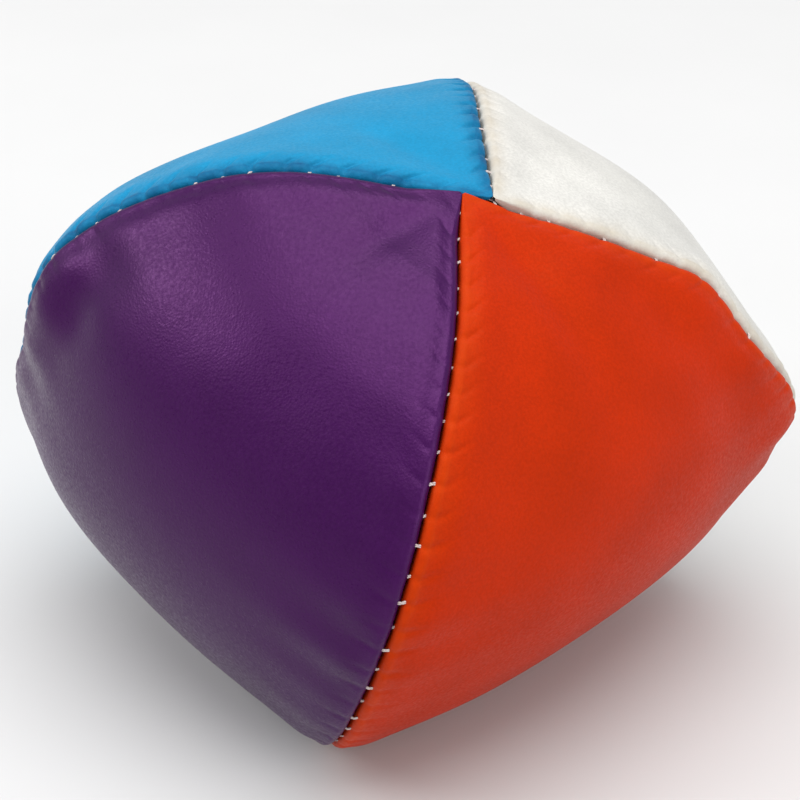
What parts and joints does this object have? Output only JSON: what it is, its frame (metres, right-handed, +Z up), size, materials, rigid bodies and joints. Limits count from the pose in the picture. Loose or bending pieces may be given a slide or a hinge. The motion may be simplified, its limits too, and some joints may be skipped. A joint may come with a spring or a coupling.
{
  "type": "juggling ball",
  "caption": "Slumped beanbag juggling ball: coloured leather-cloth panels with turned-in edges, lockstitched seams and a packed seed filling.",
  "frame": {"origin": "on the table, under the middle of the ball's outline", "axes": "+Z up; -Y towards the side where the purple and orange panels meet; +X towards the corner where orange meets white"},
  "size_m": [0.0708, 0.0708, 0.0496],
  "materials": {
    "purple_leather_cloth": "satin, fine grain",
    "orange_leather_cloth": "satin, fine grain",
    "blue_leather_cloth": "satin, fine grain",
    "white_leather_cloth": "satin, fine grain",
    "thread": "twisted polyester",
    "millet": "dry seed"
  },
  "bodies": {
    "root": {"purple_panel": "purple_leather_cloth", "orange_panel": "orange_leather_cloth", "blue_panel": "blue_leather_cloth", "white_panel": "white_leather_cloth", "purple_orange_needle_thread": "thread", "purple_orange_bobbin_thread": "thread", "blue_white_needle_thread": "thread", "blue_white_bobbin_thread": "thread", "joining_needle_thread": "thread", "joining_bobbin_thread": "thread", "closing_thread": "thread", "millet_filling": "millet"}
  },
  "joints": []
}
